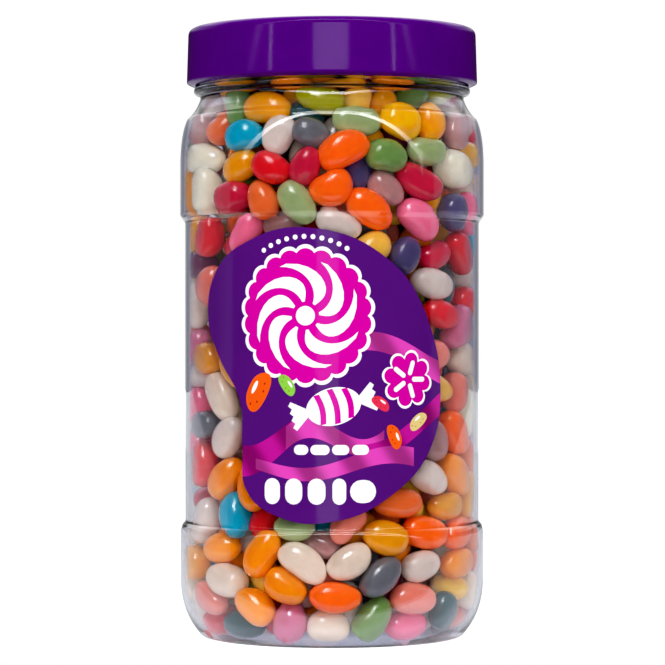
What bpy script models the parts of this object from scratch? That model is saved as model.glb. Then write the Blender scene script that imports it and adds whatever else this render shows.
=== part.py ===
# A clear jar with a screw cap, full of jelly beans, and a curved label in its recessed waist.
# Metres, +Z up. The jar stands on z = 0, its axis is the Z axis, and the label faces -Y.
import math
import random

import bmesh
import bpy

MM = 0.001

# Driving dimensions, in millimetres
SIDES = 40               # flats round the jar, the cap and the beans
WALL = 1.0               # the jar's clear wall
GAP = 0.35               # between pieces that rest on each other

RING_INNER_R = 33.5      # the flat ring that the jar stands on
RING_OUTER_R = 39.4
PUSH_UP = 5.0            # how far the middle of the base is pushed up
FLOOR = 1.7              # the base is thicker than the wall
HEEL_TOP = 17.0

LOWER_BAND_R = 47.2      # the full-width bands above and below the waist
UPPER_BAND_R = 47.35
PANEL_R = 45.8           # the recessed waist
LOWER_BAND_TOP = 31.8
PANEL_BOTTOM = 35.0
PANEL_TOP = 128.8
UPPER_BAND_BOTTOM = 132.6
UPPER_BAND_TOP = 147.5

KNEE_R = 45.2            # where the shoulder turns in towards the neck
KNEE_Z = 160.7
NECK_R = 41.1
NECK_Z = 167.0
BEAD_R = 43.1            # the support ring under the cap
BEAD_BOTTOM = 168.8
BEAD_TOP = 170.6
FINISH_R = 41.9          # the mouth, hidden in the cap
RIM_Z = 186.9

CAP_R = 45.3
CAP_TOP_R = 44.8         # the cap's side leans in by its moulding draft
CAP_TOP = 189.0
CAP_BOTTOM = 172.1
CAP_CORNER = 2.3         # radius round the top edge
CAP_LIP_R = 43.4         # the underside slopes in to this radius
CAP_LIP_Z = 171.25
CAP_BORE_R = 42.6
CAP_ROOF = 1.5

BEAN_TOP = 185.2         # the beans fill the jar up into the mouth
BEAN_ROW = 6.6           # half the height of one bean on the heap's outside
BUMP_DEPTH = 2.2         # how far the outline drops between two beans
VALLEY = (0.7, 1.0)      # shares of that depth between the beans and on them
PEAK = (0.0, 0.25)

LABEL_R = 46.25          # middle of the label's thickness
LABEL_THICK = 0.3
LABEL_STRIP = 4.4        # width of the flat strips that follow the curve
# The label's outline laid flat: along the curve from the front, and height
LABEL_OUTLINE = (
    (-7.0, 125.7), (-27.0, 121.8), (-41.0, 111.8), (-44.2, 99.0), (-38.5, 87.0),
    (-30.0, 74.5), (-28.8, 60.0), (-27.5, 47.5), (-16.0, 39.4), (0.0, 38.2),
    (18.5, 46.0), (33.0, 60.8), (36.6, 77.0), (31.5, 98.0), (18.0, 115.8),
)


def bend(start, corner, end, count):
    """Points after start along a curve that leaves start and reaches end towards corner."""
    points = []
    for i in range(1, count + 1):
        t = i / count
        a, b, c = (1 - t) ** 2, 2 * t * (1 - t), t * t
        points.append(tuple(a * s + b * k + c * e for s, k, e in zip(start, corner, end)))
    return points


def ledge(start, end):
    """A sloped step between two radii, with its edges softened."""
    (r0, z0), (r1, z1) = start, end
    return [
        (r0 + (r1 - r0) * 0.12, z0 + (z1 - z0) * 0.25),
        (r0 + (r1 - r0) * 0.88, z0 + (z1 - z0) * 0.75),
        end,
    ]


def upper_side():
    """The jar's outside from the top of the heel to the neck."""
    side = [(LOWER_BAND_R, HEEL_TOP), (LOWER_BAND_R, LOWER_BAND_TOP)]
    side += ledge(side[-1], (PANEL_R, PANEL_BOTTOM))
    side.append((PANEL_R, PANEL_TOP))
    side += ledge(side[-1], (UPPER_BAND_R, UPPER_BAND_BOTTOM))
    side.append((UPPER_BAND_R, UPPER_BAND_TOP))
    side += bend(side[-1], (UPPER_BAND_R - 0.15, KNEE_Z - 4.2), (KNEE_R, KNEE_Z), 4)
    side += bend(side[-1], (NECK_R + 1.5, KNEE_Z + 2.1), (NECK_R, NECK_Z), 3)
    return side


def jar_inside():
    """From the middle of the floor, out and up the inner wall to the neck."""
    top = PUSH_UP + FLOOR
    inside = [(0, top)]
    inside += bend(inside[0], (22, top), (RING_INNER_R + 1, FLOOR), 4)
    inside.append((RING_OUTER_R - 0.8, FLOOR + 0.2))
    inner_band = LOWER_BAND_R - WALL
    inside += bend(inside[-1], (inner_band - 0.7, 7.8), (inner_band, HEEL_TOP), 4)
    inside += [(r - WALL, z) for r, z in upper_side()[1:]]
    return inside


def jar_outside():
    """From the rim down the mouth, the support ring and the side, and under the base."""
    outside = [(FINISH_R, RIM_Z), (FINISH_R, BEAD_TOP + 0.5), (BEAD_R, BEAD_TOP)]
    outside += [(BEAD_R, BEAD_BOTTOM), (NECK_R, BEAD_BOTTOM - 0.7)]
    outside += reversed(upper_side())
    heel_foot = (RING_OUTER_R + 1.6, 0.7)
    outside += bend(outside[-1], (LOWER_BAND_R - 0.3, 7.0), heel_foot, 5)
    outside += [(RING_OUTER_R, 0), (RING_INNER_R, 0)]
    outside += bend(outside[-1], (22, PUSH_UP), (0, PUSH_UP), 4)
    return outside


def cap_profile():
    """From the middle of the cap's top over its edge, down its side and up inside it."""
    centre = (CAP_TOP_R - CAP_CORNER, CAP_TOP - CAP_CORNER)
    profile = [(0, CAP_TOP)]
    for i in range(5):
        angle = math.radians(90 - 22.5 * i)
        profile.append((
            centre[0] + CAP_CORNER * math.cos(angle),
            centre[1] + CAP_CORNER * math.sin(angle),
        ))
    profile += [(CAP_R, CAP_BOTTOM + 0.4), (CAP_R - 0.4, CAP_BOTTOM), (CAP_LIP_R, CAP_LIP_Z)]
    profile += [(CAP_BORE_R, CAP_LIP_Z + 0.3), (CAP_BORE_R, CAP_TOP - CAP_ROOF)]
    profile.append((0, CAP_TOP - CAP_ROOF))
    return profile


def bean_profile():
    """The heap's outline, a gap inside the jar, from its top middle down to its floor middle."""
    mouth_r = NECK_R - WALL - GAP
    top = spread([(0, BEAN_TOP), (mouth_r - 2, BEAN_TOP)], BEAN_ROW * 1.6)
    side = [(r - GAP, z) for r, z in jar_inside()[6:]] + [(mouth_r, BEAN_TOP - 2)]
    side.reverse()
    floor = [(r, z + GAP + 0.15) for r, z in reversed(jar_inside()[:6])]
    floor[0] = (floor[0][0] - GAP, floor[0][1] + GAP)
    return top + spread(side, BEAN_ROW) + floor


def spread(points, step):
    """The same line with its long runs divided into equal parts no longer than step."""
    line = [points[0]]
    for start, end in zip(points, points[1:]):
        parts = max(1, math.ceil(math.dist(start, end) / step))
        for i in range(1, parts + 1):
            t = i / parts
            line.append(tuple(s + (e - s) * t for s, e in zip(start, end)))
    return line


def plastic(name, colour, roughness, clear=0.0):
    material = bpy.data.materials.new(name)
    material.use_nodes = True
    shader = material.node_tree.nodes["Principled BSDF"]
    shader.inputs["Base Color"].default_value = (*colour, 1)
    shader.inputs["Roughness"].default_value = roughness
    shader.inputs["Transmission Weight"].default_value = clear
    material.diffuse_color = (*colour, 1 - 0.65 * clear)
    return material


def add(name, mesh, material):
    """An object of the model, with its material and smooth shading up to sharp edges."""
    mesh.materials.append(material)
    mesh.shade_smooth()
    thing = bpy.data.objects.new(name, mesh)
    model.objects.link(thing)
    return thing


def turned(name, profile, material):
    """A closed body of revolution about Z from a profile in millimetres."""
    mesh = bpy.data.meshes.new(name)
    edges = [(i, i + 1) for i in range(len(profile) - 1)]
    mesh.from_pydata([(r * MM, 0, z * MM) for r, z in profile], edges, [])
    thing = add(name, mesh, material)
    screw = thing.modifiers.new("Turn", "SCREW")
    screw.steps = SIDES
    screw.render_steps = SIDES
    screw.use_merge_vertices = True
    screw.merge_threshold = 0.00001
    return thing


def make_jar():
    clear = plastic("clear PET", (0.93, 0.95, 0.97), 0.04, 1.0)
    return turned("jar", jar_inside() + jar_outside(), clear)


def make_cap():
    return turned("cap", cap_profile(), plastic("violet cap", (0.075, 0.0, 0.17), 0.35))


def make_beans():
    """One solid for the whole filling, where beans bulge outwards between valleys."""
    work = bmesh.new()
    line = [work.verts.new((r * MM, 0, z * MM)) for r, z in bean_profile()]
    edges = [work.edges.new(pair) for pair in zip(line, line[1:])]
    bmesh.ops.spin(work, geom=line + edges, axis=(0, 0, 1), cent=(0, 0, 0),
                   angle=math.tau, steps=SIDES)
    bmesh.ops.remove_doubles(work, verts=work.verts, dist=0.00001)
    bmesh.ops.recalc_face_normals(work, faces=work.faces)
    work.verts.ensure_lookup_table()
    uneven = random.Random(5)
    floor_top = (PUSH_UP + FLOOR + 1) * MM
    valleys = set()
    for v in work.verts:
        radius = math.hypot(v.co.x, v.co.y)
        column = round(math.atan2(v.co.y, v.co.x) * SIDES / math.tau)
        across = v.co.z if floor_top < v.co.z < (BEAN_TOP - 1) * MM else radius
        row = round(across / (BEAN_ROW * MM))
        if (row + column) % 2:
            valleys.add(v)
        depth = BUMP_DEPTH * MM * uneven.uniform(*(VALLEY if v in valleys else PEAK))
        if v.co.z > (BEAN_TOP - 1) * MM:
            v.co.z -= depth
        elif v.co.z < floor_top and radius < (RING_OUTER_R - 1) * MM:
            v.co.z += depth
        else:
            v.co.x *= 1 - depth / radius
            v.co.y *= 1 - depth / radius
    for face in list(work.faces):  # folded between its two valleys, so each bulge stands alone
        low = [v for v in face.verts if v in valleys]
        if len(face.verts) == 4 and len(low) == 2 and not work.edges.get(low):
            bmesh.utils.face_split(face, *low)
    mesh = bpy.data.meshes.new("beans")
    work.to_mesh(mesh)
    work.free()
    return add("beans", mesh, plastic("sugar shell", (0.85, 0.32, 0.07), 0.3))


def label_sheet():
    """The label laid flat: width along X, height along Y, its printed face towards +Z."""
    outline = bpy.data.curves.new("label outline", "CURVE")
    outline.dimensions = "2D"
    outline.fill_mode = "BOTH"
    outline.extrude = LABEL_THICK / 2 * MM
    outline.resolution_u = 4
    spline = outline.splines.new("BEZIER")
    spline.bezier_points.add(len(LABEL_OUTLINE) - 1)
    for point, (along, height) in zip(spline.bezier_points, LABEL_OUTLINE):
        point.co = (along * MM, height * MM, 0)
        point.handle_left_type = point.handle_right_type = "AUTO"
    spline.use_cyclic_u = True
    guide = bpy.data.objects.new("label outline", outline)
    model.objects.link(guide)
    bpy.context.view_layer.update()
    sheet = bpy.data.meshes.new_from_object(guide.evaluated_get(bpy.context.evaluated_depsgraph_get()))
    bpy.data.objects.remove(guide)
    return sheet


def make_label():
    """The flat sheet cut into strips and rolled round the waist."""
    work = bmesh.new()
    work.from_mesh(label_sheet())
    bmesh.ops.remove_doubles(work, verts=work.verts, dist=0.00001)
    reach = max(abs(v.co.x) for v in work.verts)
    strips = math.ceil(reach / (LABEL_STRIP * MM))
    for i in range(-strips, strips + 1):
        cut = i * LABEL_STRIP * MM
        everything = work.verts[:] + work.edges[:] + work.faces[:]
        bmesh.ops.bisect_plane(work, geom=everything, dist=1e-7,
                               plane_co=(cut, 0, 0), plane_no=(1, 0, 0))
    bmesh.ops.triangulate(work, faces=work.faces)
    for v in work.verts:
        angle = v.co.x / (LABEL_R * MM)
        radius = LABEL_R * MM + v.co.z
        v.co = (radius * math.sin(angle), -radius * math.cos(angle), v.co.y)
    mesh = bpy.data.meshes.new("label")
    work.to_mesh(mesh)
    work.free()
    return add("label", mesh, plastic("printed film", (0.09, 0.006, 0.2), 0.4))


for old in list(bpy.data.objects):
    bpy.data.objects.remove(old)
model = bpy.data.collections.new("Jelly bean jar")
bpy.context.scene.collection.children.link(model)

for piece in (make_jar(), make_cap(), make_beans(), make_label()):
    print(piece.name, "made")
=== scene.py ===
# A clear screw-cap jar full of jelly beans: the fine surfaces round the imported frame, and the studio.
import math
import random

import bmesh
import bpy
import numpy as np
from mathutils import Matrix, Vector, geometry


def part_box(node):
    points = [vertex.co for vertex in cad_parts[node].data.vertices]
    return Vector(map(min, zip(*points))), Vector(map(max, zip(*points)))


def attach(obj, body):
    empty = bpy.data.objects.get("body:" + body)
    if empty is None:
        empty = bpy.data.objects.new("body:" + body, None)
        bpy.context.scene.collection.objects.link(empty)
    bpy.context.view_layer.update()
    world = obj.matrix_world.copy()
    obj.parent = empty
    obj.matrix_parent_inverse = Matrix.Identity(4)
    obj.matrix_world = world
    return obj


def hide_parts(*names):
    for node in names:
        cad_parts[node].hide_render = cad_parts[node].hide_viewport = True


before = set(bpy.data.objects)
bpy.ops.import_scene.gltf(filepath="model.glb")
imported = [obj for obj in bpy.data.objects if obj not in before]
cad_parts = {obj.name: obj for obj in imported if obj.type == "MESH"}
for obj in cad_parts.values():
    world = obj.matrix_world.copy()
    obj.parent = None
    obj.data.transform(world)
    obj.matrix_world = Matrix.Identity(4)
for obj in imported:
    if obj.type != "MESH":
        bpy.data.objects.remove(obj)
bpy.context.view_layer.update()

mm = 0.001
jarLow, jarHigh = (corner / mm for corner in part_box("jar"))
capLow, capHigh = (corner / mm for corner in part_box("cap"))
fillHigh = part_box("beans")[1] / mm


def bend(start, corner, end, count):
    # points after start along a curve that leaves start and reaches end towards corner
    points = []
    for i in range(1, count + 1):
        t = i / count
        a, b, c = (1 - t) ** 2, 2 * t * (1 - t), t * t
        points.append(tuple(a * s + b * k + c * e for s, k, e in zip(start, corner, end)))
    return points


def rounded(points, radii, count=5):
    # the same line with each inner corner replaced by a short curve, of one radius or one each
    line = [points[0]]
    if isinstance(radii, float):
        radii = [radii] * (len(points) - 2)
    for before, corner, after, radius in zip(points, points[1:], points[2:], radii):
        reachIn = min(radius, math.dist(before, corner) / 2)
        reachOut = min(radius, math.dist(corner, after) / 2)
        start = tuple(c + (b - c) * reachIn / math.dist(before, corner) for b, c in zip(before, corner))
        end = tuple(c + (a - c) * reachOut / math.dist(corner, after) for a, c in zip(after, corner))
        line.append(start)
        line += bend(start, corner, end, count)
    line.append(points[-1])
    return line


def addPiece(name, mesh, materials):
    for material in materials:
        mesh.materials.append(material)
    piece = bpy.data.objects.new(name, mesh)
    bpy.context.scene.collection.objects.link(piece)
    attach(piece, "root")
    return piece


def turned(name, profile, sides, materials, sharp=40):
    # a closed body of revolution about the jar's axis, from a profile in millimetres
    work = bmesh.new()
    line = [work.verts.new((r * mm, 0, z * mm)) for r, z in profile]
    edges = [work.edges.new(pair) for pair in zip(line, line[1:])]
    bmesh.ops.spin(work, geom=line + edges, axis=(0, 0, 1), cent=(0, 0, 0), angle=math.tau, steps=sides)
    bmesh.ops.remove_doubles(work, verts=work.verts, dist=0.001 * mm)
    bmesh.ops.recalc_face_normals(work, faces=work.faces)
    mesh = bpy.data.meshes.new(name)
    work.to_mesh(mesh)
    work.free()
    mesh.shade_smooth()
    mesh.set_sharp_from_angle(angle=math.radians(sharp))
    return addPiece(name, mesh, materials)


def linear(red, green, blue):
    # a colour as a screen shows it, 0 to 255, as light
    light = [((c / 255 + 0.055) / 1.055) ** 2.4 if c > 10 else c / 3295 for c in (red, green, blue)]
    return (*light, 1)


def newMaterial(name):
    material = bpy.data.materials.new(name)
    material.use_nodes = True
    tree = material.node_tree
    return material, tree, tree.nodes["Principled BSDF"]


def setInputs(node, values):
    for name, value in values.items():
        node.inputs[name].default_value = value


def feed(tree, socket, value):
    if isinstance(value, bpy.types.NodeSocket):
        tree.links.new(value, socket)
    else:
        socket.default_value = value


def calc(tree, operation, a, b=0.0, c=0.0):
    node = tree.nodes.new("ShaderNodeMath")
    node.operation = operation
    for socket, value in zip(node.inputs, (a, b, c)):
        feed(tree, socket, value)
    return node.outputs[0]


def multiply(tree, *values):
    # the product of two or more values
    total = values[0]
    for value in values[1:]:
        total = calc(tree, "MULTIPLY", total, value)
    return total


def add(tree, *values):
    # the sum of two or more values
    total = values[0]
    for value in values[1:]:
        total = calc(tree, "ADD", total, value)
    return total


def ramp(tree, value, low, high, outLow=0.0, outHigh=1.0, smooth=True):
    node = tree.nodes.new("ShaderNodeMapRange")
    node.interpolation_type = "SMOOTHSTEP" if smooth else "LINEAR"
    for key, number in zip(("Value", "From Min", "From Max", "To Min", "To Max"),
                           (value, low, high, outLow, outHigh)):
        feed(tree, node.inputs[key], number)
    return node.outputs[0]


def blendColours(tree, factor, a, b, mode="MIX"):
    node = tree.nodes.new("ShaderNodeMix")
    node.data_type = "RGBA"
    node.blend_type = mode
    for socket, value in zip((node.inputs[0], node.inputs[6], node.inputs[7]), (factor, a, b)):
        feed(tree, socket, value)
    return node.outputs[2]


def axes(tree, space):
    # the X, Y and Z of a point, or of a direction
    place = tree.nodes.new("ShaderNodeTexCoord")
    split = tree.nodes.new("ShaderNodeSeparateXYZ")
    tree.links.new(place.outputs[space], split.inputs[0])
    return split.outputs


def noise(tree, size, detail=3.0, rough=0.5, stretch=(1, 1, 1)):
    # noise with features of about size millimetres, fixed to the object
    place = tree.nodes.new("ShaderNodeTexCoord")
    mapping = tree.nodes.new("ShaderNodeMapping")
    mapping.inputs["Scale"].default_value = stretch
    tree.links.new(place.outputs["Object"], mapping.inputs["Vector"])
    node = tree.nodes.new("ShaderNodeTexNoise")
    setInputs(node, {"Scale": 1 / (size * mm), "Detail": detail, "Roughness": rough})
    tree.links.new(mapping.outputs[0], node.inputs["Vector"])
    return node.outputs[0]


def relief(tree, shader, height, depth):
    # a bump that is depth millimetres deep
    bump = tree.nodes.new("ShaderNodeBump")
    bump.inputs["Distance"].default_value = depth * mm
    tree.links.new(height, bump.inputs["Height"])
    tree.links.new(bump.outputs[0], shader.inputs["Normal"])


# the jar in millimetres: an inset is taken off its widest radius
jarStyle = {
    "sides": 192,
    "wall": 1.0,
    "lowerInset": 0.15,
    "waistInset": 1.55,
    "heelTop": 17.0,
    "lowerLedge": (34.3, 35.8),
    "upperLedge": (128.7, 130.9),
    "bandTop": 147.5,
    "ledgeRadii": [2.4, 0.6, 0.5, 0.6],
    "knee": (2.15, 160.7),  # inset and height where the shoulder turns in
    "neck": (6.25, 167.0),
    "ring": (4.25, 168.8, 170.6),  # the support ring: inset, bottom and top
    "ringEdge": 0.9,
    "mouthInset": 5.45,
    "floor": 6.7,  # height of the floor's middle, inside
    "pushUp": 5.0,  # and underneath
    "foot": (33.5, 39.4),  # the flat ring that it stands on
    "groove": (34.5, 1.1),  # where the floor meets the groove over the foot
    "tint": (0.955, 0.965, 0.985, 1),
    "bend": 1.575,
    "waviness": 0.02,
}


def jarSide(count):
    # the outside from the top of the heel up to the neck
    style = jarStyle
    upper = jarHigh.x
    lower = upper - style["lowerInset"]
    waist = upper - style["waistInset"]
    knee = (upper - style["knee"][0], style["knee"][1])
    neck = (upper - style["neck"][0], style["neck"][1])
    steps = [(lower, style["heelTop"]), *zip((lower, waist), style["lowerLedge"]),
             *zip((waist, upper), style["upperLedge"]), (upper, style["bandTop"])]
    side = rounded(steps, style["ledgeRadii"])
    side += bend(side[-1], (lower, knee[1] - 4.2), knee, count)
    side += bend(side[-1], (neck[0] + 1.5, knee[1] + 2.1), neck, count)
    return side


def jarInside(count=10):
    # from the middle of the floor, out and up the inner wall to the neck
    style = jarStyle
    wall = style["wall"]
    inside = [(0, style["floor"])]
    inside += bend(inside[0], (22, style["floor"]), style["groove"], count)
    inside.append((style["foot"][1], style["groove"][1]))
    band = jarHigh.x - style["lowerInset"] - wall
    inside += bend(inside[-1], (band - 0.5, 6.8), (band, style["heelTop"]), count)
    inside += [(r - wall, z) for r, z in jarSide(count)[1:]]
    return inside


def jarOutside(count=10):
    # from the rim down the mouth, the support ring and the side, and under the base
    style = jarStyle
    inset, ringLow, ringHigh = style["ring"]
    ring = jarHigh.x - inset
    mouth = jarHigh.x - style["mouthInset"]
    neck = jarSide(count)[-1][0]
    top = [(jarInside()[-1][0], jarHigh.z), (mouth, jarHigh.z), (mouth, ringHigh + 0.5), (ring, ringHigh),
           (ring, ringLow), (neck, ringLow - 0.7), (neck, style["neck"][1] - 0.2)]
    outside = rounded(top, style["ringEdge"], 5)[:-1]
    outside += reversed(jarSide(count))
    footIn, footOut = style["foot"]
    outside += bend(outside[-1], (jarHigh.x - 0.45, 7.0), (footOut + 1.6, 0.7), count)
    outside += [(footOut + 0.9, 0.25), (footOut, 0), (footIn, 0)]
    outside += bend(outside[-1], (22, style["pushUp"]), (0, style["pushUp"]), count)
    return outside


def clearPlastic():
    # clear moulded plastic that lets lamps through to what is inside
    material, tree, shader = newMaterial("clearPlastic")
    setInputs(shader, {"Base Color": jarStyle["tint"], "Transmission Weight": 1.0, "IOR": jarStyle["bend"]})
    feed(tree, shader.inputs["Roughness"], ramp(tree, noise(tree, 14), 0.3, 0.7, 0.0, 0.03))
    relief(tree, shader, noise(tree, 16, 1.0, 0.4, (1, 1, 0.5)), jarStyle["waviness"])
    lamp = tree.nodes.new("ShaderNodeBsdfTransparent")
    lamp.inputs["Color"].default_value = (0.97, 0.975, 0.985, 1)
    mix = tree.nodes.new("ShaderNodeMixShader")
    path = tree.nodes.new("ShaderNodeLightPath")
    tree.links.new(path.outputs["Is Shadow Ray"], mix.inputs[0])
    tree.links.new(shader.outputs[0], mix.inputs[1])
    tree.links.new(lamp.outputs[0], mix.inputs[2])
    tree.links.new(mix.outputs[0], tree.nodes["Material Output"].inputs["Surface"])
    return material


def makeJar():
    jar = turned("jarShell", jarInside() + jarOutside(), jarStyle["sides"], [clearPlastic()])
    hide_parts("jar")
    print("jar made")


# the cap in millimetres
capStyle = {
    "sides": 192,
    "corner": 2.3,
    "draft": 0.5,  # how far the side leans in towards the top
    "slope": (1.9, 0.85),  # the sloped underside, across and up
    "wall": 2.7,
    "roof": 1.5,
    "edge": 0.35,
    "colour": linear(84, 0, 121),
    "roughness": (0.1, 0.16),
}


def capPlastic():
    material, tree, shader = newMaterial("violetPlastic")
    mottle = ramp(tree, noise(tree, 9, 2), 0.3, 0.7, 0.96, 1.03)
    feed(tree, shader.inputs["Base Color"], blendColours(tree, 1.0, capStyle["colour"], mottle, "MULTIPLY"))
    setInputs(shader, {"IOR": 1.49, "Specular IOR Level": 0.22})
    low, high = capStyle["roughness"]
    feed(tree, shader.inputs["Roughness"], ramp(tree, noise(tree, 1.6, 6, 0.65), 0.35, 0.7, low, high))
    relief(tree, shader, noise(tree, 6, 2), 0.02)
    return material


def capProfile():
    # from the middle of the top, down the outside, round the lip and up the bore
    style = capStyle
    across, up = style["slope"]
    bore, roof = capHigh.x - style["wall"], capHigh.z - style["roof"]
    outer = [(0, capHigh.z), (capHigh.x - style["draft"], capHigh.z), (capHigh.x, capLow.z + up)]
    profile = rounded(outer, style["corner"], 8)[:-1]
    lip = [(capHigh.x, capLow.z + 1.6), (capHigh.x, capLow.z + up), (capHigh.x - across, capLow.z),
           (bore, capLow.z), (bore, roof)]
    return profile + rounded(lip, style["edge"], 4) + [(0, roof)]


def makeCap():
    cap = turned("screwCap", capProfile(), capStyle["sides"], [capPlastic()])
    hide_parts("cap")
    print("cap made")


# the label in millimetres: its outline lies flat, along the curve from the front and height
labelStyle = {
    "radius": 46.25,
    "film": (45.88, 46.0),  # its inner and outer radius
    "outline": [(-7, 125.7), (-27, 121.8), (-41, 111.8), (-44.2, 99), (-38.5, 87), (-30, 74.5),
                (-28.8, 60), (-27.5, 47.5), (-16, 39.4), (0, 38.2), (18.5, 46), (33, 60.8),
                (36.6, 77), (31.5, 98), (18, 115.8)],
    "grid": (1.6, 3.2),
}

inks = {
    "ground": (90, 32, 121),
    "magenta": (206, 0, 158),
    "white": (250, 250, 250),
    "ribbon": (178, 62, 146),
    "ribbonBack": (150, 26, 120),
    "orange": (240, 98, 30),
    "fleck": (150, 40, 20),
    "green": (140, 200, 80),
    "red": (226, 60, 90),
    "cream": (222, 196, 130),
}


def labelOutline():
    # the label's edge as a smooth closed curve through its corner points
    curve = bpy.data.curves.new("labelOutline", "CURVE")
    curve.dimensions = "3D"
    curve.resolution_u = 16
    spline = curve.splines.new("BEZIER")
    spline.bezier_points.add(len(labelStyle["outline"]) - 1)
    for point, (along, height) in zip(spline.bezier_points, labelStyle["outline"]):
        point.co = (along, height, 0)
        point.handle_left_type = point.handle_right_type = "AUTO"
    spline.use_cyclic_u = True
    guide = bpy.data.objects.new("labelOutline", curve)
    bpy.context.scene.collection.objects.link(guide)
    bpy.context.view_layer.update()
    line = bpy.data.meshes.new_from_object(guide.evaluated_get(bpy.context.evaluated_depsgraph_get()))
    points = [(v.co.x, v.co.y) for v in line.vertices]
    bpy.data.objects.remove(guide)
    bpy.data.meshes.remove(line)
    return points


def place(points, centre, turn=0.0):
    # the points turned by so many degrees and moved to centre
    c, s = math.cos(math.radians(turn)), math.sin(math.radians(turn))
    return [(centre[0] + x * c - y * s, centre[1] + x * s + y * c) for x, y in points]


def oval(across, up, count=40):
    angles = [math.tau * i / count for i in range(count)]
    return [(across * math.cos(a), up * math.sin(a)) for a in angles]


def scallop(radius, lobes, depth, count=8):
    # a round badge with a wavy edge
    total = lobes * count
    points = []
    for i in range(total):
        a = math.tau * i / total
        r = radius - depth + depth * abs(math.sin(math.pi * i / count)) ** 0.7
        points.append((r * math.cos(a), r * math.sin(a)))
    return points


def blade(inner, outer, wide, twist, count=12):
    # one curved blade of a pinwheel
    edge = []
    for i in range(count + 1):
        t = i / count
        r, a = inner + (outer - inner) * t, math.radians(twist * t * t)
        edge.append((r, a, math.radians(wide * math.sin(math.pi * (0.12 + 0.8 * t)) / 2)))
    side = [(r * math.cos(a + w), r * math.sin(a + w)) for r, a, w in edge]
    return side + [(r * math.cos(a - w), r * math.sin(a - w)) for r, a, w in reversed(edge)]


def pill(across, up, count=8):
    # a rectangle with round ends
    ends = []
    reach = across - up
    for i in range(count + 1):
        a = math.pi * (i / count - 0.5)
        ends.append((reach + up * math.cos(a), up * math.sin(a)))
    return ends + [(-x, -y) for x, y in ends]


def kidney(long, wide, curl=0.25, count=36):
    # a jelly bean seen flat
    points = []
    for i in range(count):
        a = math.tau * i / count
        x, y = math.cos(a), math.sin(a)
        dent = 0.12 * (y > 0) * math.exp(-(x / 0.5) ** 2)
        points.append((long * x, wide * (y * (1 - dent) - curl * x * x)))
    return points


def wrapperEnd(long, wide, teeth=4):
    # the fan of a wrapped sweet, opening along +X from its knot
    points = [(0, -wide * 0.16)]
    for i in range(teeth * 2 + 1):
        t = i / (teeth * 2)
        points.append((long * (1.0 if i % 2 else 0.84), wide * (2 * t - 1)))
    return points + [(0, wide * 0.16)]


def wave(start, end, swing, phase, turns, wide, count=26):
    # one run of ribbon: a band about a wavy line, narrowing where it turns over
    middle = []
    for i in range(count + 1):
        t = i / count
        x = start[0] + (end[0] - start[0]) * t
        y = start[1] + (end[1] - start[1]) * t + swing * math.sin(phase + math.tau * turns * t)
        middle.append((x, y, wide[0] + (wide[1] - wide[0]) * t))
    return [(x, y + w) for x, y, w in middle] + [(x, y - w) for x, y, w in reversed(middle)]


def ribbons():
    # runs of ribbon: start, end, swing, phase, turns, half widths at both ends and ink
    runs = [((4, 90), (46, 84), 3.2, 0.4, 0.8, (2.6, 3.6), "ribbon"),
            ((-34, 58), (-6, 64), 3.6, 3.4, 0.7, (5.0, 3.2), "ribbonBack"),
            ((-14, 60.5), (16, 66), 4.6, 0.6, 0.8, (3.4, 2.2), "ribbon"),
            ((10, 61), (44, 73), 3.0, 3.9, 0.7, (2.2, 3.8), "ribbonBack"),
            ((-24, 54), (26, 56), 2.4, 2.6, 1.0, (1.6, 2.8), "ribbon")]
    return [(wave(*run), ink) for *run, ink in runs]


def pinwheelBadge():
    # a scalloped badge with a pinwheel, under an arc of dots
    centre = (-8, 99.5)
    rims = ((21.3, "white"), (20.1, "magenta"))
    shapes = [(place(scallop(radius, 22, 1.3), centre), ink) for radius, ink in rims]
    shapes += [(place(blade(4.2, 16.6, 30, 62), centre, i * 45 + 8), "white") for i in range(8)]
    shapes.append((place(oval(2.9, 2.9), centre), "white"))
    for i in range(11):
        angle = math.radians(58 + i * 6.6)
        dot = (centre[0] + 23.6 * math.cos(angle), centre[1] + 23.6 * math.sin(angle))
        shapes.append((place(oval(0.75, 0.75, 16), dot), "white"))
    return shapes


def wrappedSweet():
    # a striped sweet in a twisted wrapper
    centre, turn = (0.5, 72.5), 14
    long, wide = 8.4, 5.6
    shapes = []
    for way in (0, 180):
        knot = place([(long - 1, 0)], centre, turn + way)[0]
        shapes.append((place(wrapperEnd(6.0, 4.4), knot, turn + way), "white"))
    shapes.append((place(oval(long, wide), centre, turn), "white"))
    for shift in (-4.3, 0, 4.3):
        tall = wide * math.sqrt(1 - (shift / long) ** 2) * 0.94
        stripe = [(shift - 0.9 + 0.8 * math.sin(math.pi * i / 10), tall * (i / 5 - 1)) for i in range(11)]
        stripe += [(x + 1.8, y) for x, y in reversed(stripe)]
        shapes.append((place(stripe, centre, turn), "magenta"))
    return shapes


def flowerBadge():
    # a badge with eight petals and five strokes round its middle
    centre = (24, 80.5)
    rims = ((8.9, "white"), (8.1, "magenta"))
    shapes = [(place(scallop(radius, 8, 2.0), centre, 12), ink) for radius, ink in rims]
    for i in range(5):
        angle = i * 1.2566  # a fifth of a turn each
        spot = (centre[0] + 3.6 * math.cos(angle), centre[1] + 3.6 * math.sin(angle))
        shapes.append((place(pill(2.3, 0.75), spot, math.degrees(angle)), "white"))
    return shapes


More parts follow.
